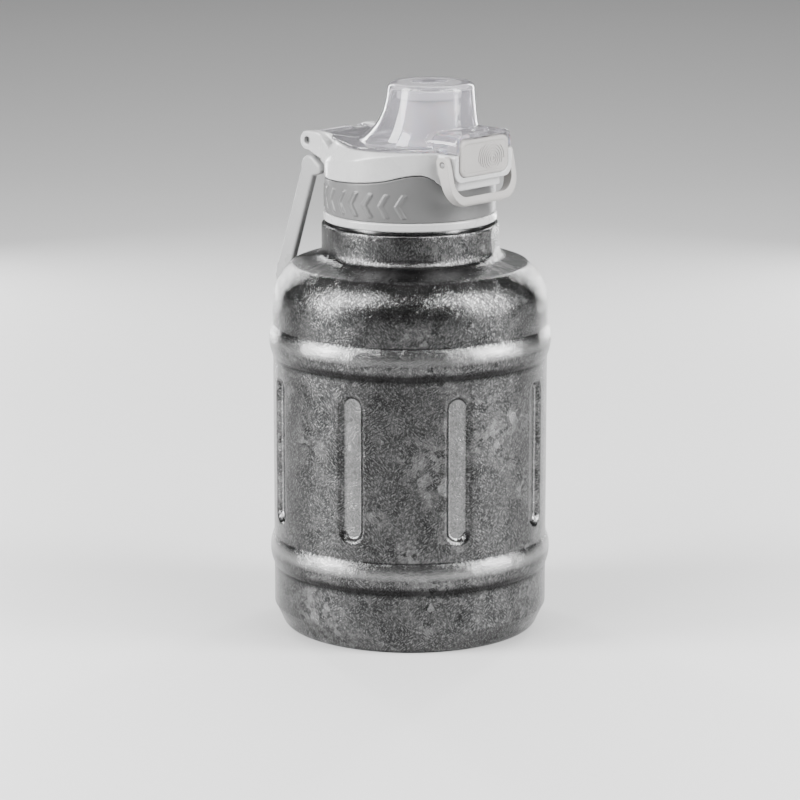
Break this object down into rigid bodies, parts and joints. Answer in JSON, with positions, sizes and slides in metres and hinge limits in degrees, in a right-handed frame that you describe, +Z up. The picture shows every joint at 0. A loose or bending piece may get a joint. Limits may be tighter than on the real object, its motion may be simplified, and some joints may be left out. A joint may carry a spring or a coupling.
{
  "type": "insulated water jug",
  "caption": "Large double-wall steel water jug with a screw-on spout lid, clear flip cover with push button and lock bail, and a hanging carry handle.",
  "frame": {"origin": "centre of the jug's resting circle, on the jug's axis", "axes": "+Z up along the jug's axis, -Y towards the front with the push button, +Y towards the hinge and the carry handle"},
  "size_m": [0.1368, 0.1398, 0.2678],
  "materials": {
    "shell_steel": "satin, fine random scratches and mottling",
    "liner_steel": "satin",
    "getter_alloy": "matt",
    "pin_steel": "polished",
    "cap_plastic": "satin",
    "band_plastic": "satin",
    "spout_plastic": "translucent satin",
    "clear_plastic": "clear, polished",
    "spout_seal": "matt silicone",
    "seal_silicone": "matt silicone",
    "button_plastic": "satin",
    "handle_plastic": "satin"
  },
  "bodies": {
    "bottle": {"outer_shell": "shell_steel", "base_cup": "shell_steel", "base_disc": "shell_steel", "vacuum_getter": "getter_alloy", "inner_liner": "liner_steel"},
    "gasket_carrier": {"mouth_gasket": "seal_silicone"},
    "lid": {"lid_base": "cap_plastic", "grip_band": "band_plastic", "lid_shell": "cap_plastic", "spout": "spout_plastic", "spout_o_ring": "seal_silicone", "hinge_pin": "pin_steel", "hinge_spring": "pin_steel", "bail_pins": "pin_steel", "handle_pins": "pin_steel", "button_spring": "pin_steel"},
    "cover": {"flip_cover": "clear_plastic", "cover_seal": "spout_seal", "seal_retainer": "clear_plastic"},
    "button": {"push_button": "button_plastic", "button_pad": "button_plastic"},
    "bail": {"lock_bail": "button_plastic"},
    "handle": {"carry_handle": "handle_plastic"}
  },
  "joints": [
    {"name": "lid_lift", "type": "slide", "parent": "bottle", "child": "gasket_carrier", "axis": [0, 0, 1], "range_m": [0, 0.012]},
    {"name": "lid_turn", "type": "hinge", "parent": "gasket_carrier", "child": "lid", "pos_m": [0, 0, 0.21], "axis": [0, 0, 1], "range_deg": [0, 540]},
    {"name": "cover_hinge", "type": "hinge", "parent": "lid", "child": "cover", "pos_m": [0, 0.0465, 0.2357], "axis": [-1, 0, 0], "range_deg": [0, 130]},
    {"name": "button_press", "type": "slide", "parent": "lid", "child": "button", "axis": [0, 1, 0], "range_m": [0, 0.0025], "stiffness_N_per_m": 600, "deforming": ["button_spring"]},
    {"name": "bail_swing", "type": "hinge", "parent": "lid", "child": "bail", "pos_m": [0, -0.0417, 0.2326], "axis": [-1, 0, 0], "range_deg": [0, 120]},
    {"name": "handle_swing", "type": "hinge", "parent": "lid", "child": "handle", "pos_m": [0, 0.0458, 0.2226], "axis": [1, 0, 0], "range_deg": [0, 80]}
  ],
  "couplings": [
    {"joint": "lid_lift", "follows": "lid_turn", "m_per_rad": 0.001273}
  ]
}
